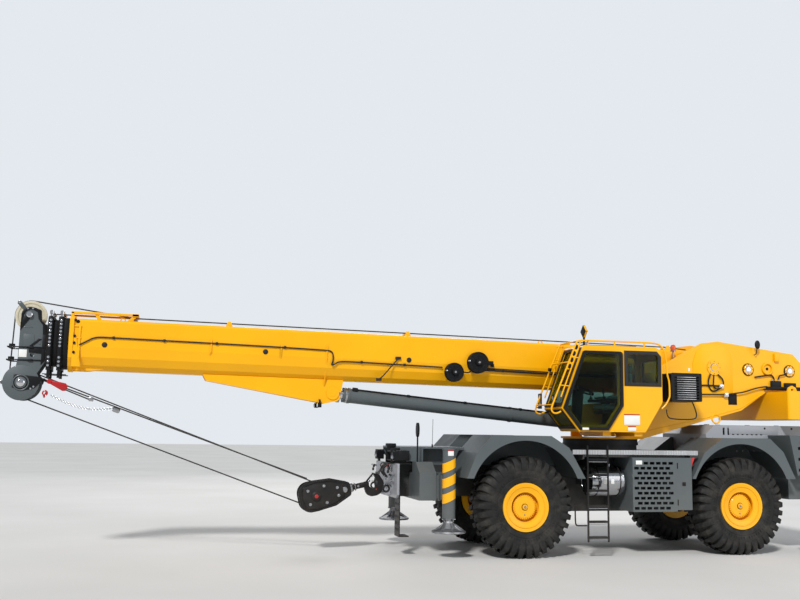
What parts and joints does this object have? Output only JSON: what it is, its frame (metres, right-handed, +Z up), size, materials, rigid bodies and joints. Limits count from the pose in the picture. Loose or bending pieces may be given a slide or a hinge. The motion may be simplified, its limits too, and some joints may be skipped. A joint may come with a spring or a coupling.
{
  "type": "rough-terrain mobile crane",
  "caption": "Rough-terrain mobile crane with a telescopic boom over the front, slewing cab, steered axles and outriggers, hook block lashed to its nose.",
  "frame": {"origin": "on the ground under the middle of the crane's whole length and width", "axes": "+X from the boom tip to the tail, +Y to the crane's right-hand side, +Z up"},
  "size_m": [15.224, 3.25, 4.302],
  "materials": {
    "chrome_yellow": "gloss chrome yellow paint",
    "slate_grey": "semi-gloss slate grey paint",
    "light_grey": "satin light grey paint",
    "black_paint": "satin black paint",
    "cast_float": "bright cast metal",
    "bright_strip": "bright treadplate edge",
    "polished": "polished steel",
    "steel": "bare machined steel",
    "rope": "greased wire rope",
    "tyre": "black rubber with dust",
    "engine": "cast iron",
    "glass": "tinted glass",
    "nylon": "cream cast nylon",
    "cab_lining": "dark cab fittings"
  },
  "bodies": {
    "root": {"carrier_frame": "black_paint", "end_plate": "light_grey", "front_deck": "slate_grey", "front_fittings": "black_paint", "hanging_step": "black_paint", "fenders": "slate_grey", "deck": "slate_grey", "deck_strips": "bright_strip", "ladders": "black_paint", "canister": "polished", "guard_box": "slate_grey", "right_tank": "slate_grey", "engine_block": "engine", "hood": "light_grey", "hood_panels": "slate_grey", "outrigger_boxes": "slate_grey", "axles": "black_paint"},
    "superstructure": {"turntable": "chrome_yellow", "counterweight": "chrome_yellow", "oil_cooler": "black_paint", "cab_body": "chrome_yellow", "cab_glass": "glass", "cab_interior": "cab_lining", "cab_roof_fittings": "chrome_yellow"},
    "cab_door": {"cab_door": "black_paint", "cab_door_glass": "glass"},
    "hoist_main": {"hoist_drum_main": "steel"},
    "hoist_aux": {"hoist_drum_aux": "steel"},
    "boom_base": {"boom_base": "chrome_yellow", "cable_reels": "black_paint"},
    "boom_mid_1": {"boom_mid_1": "chrome_yellow"},
    "boom_mid_2": {"boom_mid_2": "chrome_yellow"},
    "boom_head": {"boom_head": "slate_grey", "head_sheaves": "nylon"},
    "lift_barrel": {"lift_barrel": "slate_grey"},
    "lift_rod": {"lift_rod": "steel"},
    "hook_block": {"hook_block": "black_paint", "hoist_falls": "rope"},
    "hook": {"hook": "black_paint"},
    "beam_front_left": {"beam_front_left": "slate_grey"},
    "jack_front_left": {"jack_front_left": "cast_float"},
    "knuckle_front_left": {"knuckle_front_left": "black_paint"},
    "wheel_front_left": {"rim_front_left": "chrome_yellow", "tyre_front_left": "tyre"},
    "beam_front_right": {"beam_front_right": "slate_grey"},
    "jack_front_right": {"jack_front_right": "cast_float"},
    "knuckle_front_right": {"knuckle_front_right": "black_paint"},
    "wheel_front_right": {"rim_front_right": "chrome_yellow", "tyre_front_right": "tyre"},
    "beam_rear_right": {"beam_rear_right": "slate_grey"},
    "jack_rear_right": {"jack_rear_right": "cast_float"},
    "knuckle_rear_right": {"knuckle_rear_right": "black_paint"},
    "wheel_rear_right": {"rim_rear_right": "chrome_yellow", "tyre_rear_right": "tyre"},
    "beam_rear_left": {"beam_rear_left": "slate_grey"},
    "jack_rear_left": {"jack_rear_left": "cast_float"},
    "knuckle_rear_left": {"knuckle_rear_left": "black_paint"},
    "wheel_rear_left": {"rim_rear_left": "chrome_yellow", "tyre_rear_left": "tyre"}
  },
  "joints": [
    {"name": "slew", "type": "hinge", "parent": "root", "child": "superstructure", "pos_m": [3.31204, 0, 2.06], "axis": [0, 0, 1], "continuous": true},
    {"name": "luff", "type": "hinge", "parent": "superstructure", "child": "boom_base", "pos_m": [5.48404, 0, 3.466], "axis": [0, 1, 0], "range_deg": [0, 77]},
    {"name": "lift_barrel_tilt", "type": "hinge", "parent": "superstructure", "child": "lift_barrel", "pos_m": [3.22204, 0, 2.33], "axis": [0, 1, 0], "range_deg": [0, 84.35]},
    {"name": "lift_rod_slide", "type": "slide", "parent": "lift_barrel", "child": "lift_rod", "axis": [-0.9956, 0, 0.0938], "range_m": [0, 3.0395]},
    {"name": "telescope_1", "type": "slide", "parent": "boom_base", "child": "boom_mid_1", "axis": [-0.9998, 0, 0.0175], "range_m": [0, 8.7]},
    {"name": "telescope_2", "type": "slide", "parent": "boom_mid_1", "child": "boom_mid_2", "axis": [-0.9998, 0, 0.0175], "range_m": [0, 8.7]},
    {"name": "telescope_3", "type": "slide", "parent": "boom_mid_2", "child": "boom_head", "axis": [-0.9998, 0, 0.0175], "range_m": [0, 8.7]},
    {"name": "hook_block_swing", "type": "hinge", "parent": "boom_head", "child": "hook_block", "pos_m": [-7.31204, 0, 2.88523], "axis": [0, -1, 0], "range_deg": [-8, 0]},
    {"name": "hook_swivel", "type": "hinge", "parent": "hook_block", "child": "hook", "pos_m": [-1.35595, 0, 1.17726], "axis": [0.9767, 0, 0.2147], "continuous": true},
    {"name": "cab_door_slide", "type": "slide", "parent": "superstructure", "child": "cab_door", "axis": [1, 0, 0], "range_m": [0, 0.74]},
    {"name": "hoist_main_turn", "type": "hinge", "parent": "superstructure", "child": "hoist_main", "pos_m": [6.23204, 0, 3.447], "axis": [0, 1, 0], "continuous": true},
    {"name": "hoist_aux_turn", "type": "hinge", "parent": "superstructure", "child": "hoist_aux", "pos_m": [7.15204, 0, 3.438], "axis": [0, 1, 0], "continuous": true},
    {"name": "beam_front_left_slide", "type": "slide", "parent": "root", "child": "beam_front_left", "axis": [0, -1, 0], "range_m": [0, 1.95]},
    {"name": "jack_front_left_slide", "type": "slide", "parent": "beam_front_left", "child": "jack_front_left", "axis": [0, 0, -1], "range_m": [0, 0.62]},
    {"name": "beam_front_right_slide", "type": "slide", "parent": "root", "child": "beam_front_right", "axis": [0, 1, 0], "range_m": [0, 1.95]},
    {"name": "jack_front_right_slide", "type": "slide", "parent": "beam_front_right", "child": "jack_front_right", "axis": [0, 0, -1], "range_m": [0, 0.62]},
    {"name": "beam_rear_right_slide", "type": "slide", "parent": "root", "child": "beam_rear_right", "axis": [0, 1, 0], "range_m": [0, 1.95]},
    {"name": "jack_rear_right_slide", "type": "slide", "parent": "beam_rear_right", "child": "jack_rear_right", "axis": [0, 0, -1], "range_m": [0, 0.62]},
    {"name": "beam_rear_left_slide", "type": "slide", "parent": "root", "child": "beam_rear_left", "axis": [0, -1, 0], "range_m": [0, 1.95]},
    {"name": "jack_rear_left_slide", "type": "slide", "parent": "beam_rear_left", "child": "jack_rear_left", "axis": [0, 0, -1], "range_m": [0, 0.62]},
    {"name": "steer_front_left", "type": "hinge", "parent": "root", "child": "knuckle_front_left", "pos_m": [1.22204, -1.0225, 0.875], "axis": [0, 0, 1], "range_deg": [-24, 24]},
    {"name": "wheel_front_left_turn", "type": "hinge", "parent": "knuckle_front_left", "child": "wheel_front_left", "pos_m": [1.22204, -1.2125, 0.875], "axis": [0, 1, 0], "continuous": true},
    {"name": "steer_front_right", "type": "hinge", "parent": "root", "child": "knuckle_front_right", "pos_m": [1.22204, 1.0225, 0.875], "axis": [0, 0, 1], "range_deg": [-24, 24]},
    {"name": "wheel_front_right_turn", "type": "hinge", "parent": "knuckle_front_right", "child": "wheel_front_right", "pos_m": [1.22204, 1.2125, 0.875], "axis": [0, 1, 0], "continuous": true},
    {"name": "steer_rear_left", "type": "hinge", "parent": "root", "child": "knuckle_rear_left", "pos_m": [5.40204, -1.0225, 0.875], "axis": [0, 0, 1], "range_deg": [-24, 24]},
    {"name": "wheel_rear_left_turn", "type": "hinge", "parent": "knuckle_rear_left", "child": "wheel_rear_left", "pos_m": [5.40204, -1.2125, 0.875], "axis": [0, 1, 0], "continuous": true},
    {"name": "steer_rear_right", "type": "hinge", "parent": "root", "child": "knuckle_rear_right", "pos_m": [5.40204, 1.0225, 0.875], "axis": [0, 0, 1], "range_deg": [-24, 24]},
    {"name": "wheel_rear_right_turn", "type": "hinge", "parent": "knuckle_rear_right", "child": "wheel_rear_right", "pos_m": [5.40204, 1.2125, 0.875], "axis": [0, 1, 0], "continuous": true}
  ],
  "couplings": [
    {"joint": "lift_barrel_tilt", "follows": "luff", "ratio": 1.0948},
    {"joint": "lift_rod_slide", "follows": "luff", "m_per_rad": 2.261},
    {"joint": "telescope_2", "follows": "telescope_1", "ratio": 1},
    {"joint": "telescope_3", "follows": "telescope_1", "ratio": 1},
    {"joint": "steer_front_right", "follows": "steer_front_left", "ratio": 1},
    {"joint": "steer_rear_right", "follows": "steer_rear_left", "ratio": 1}
  ]
}
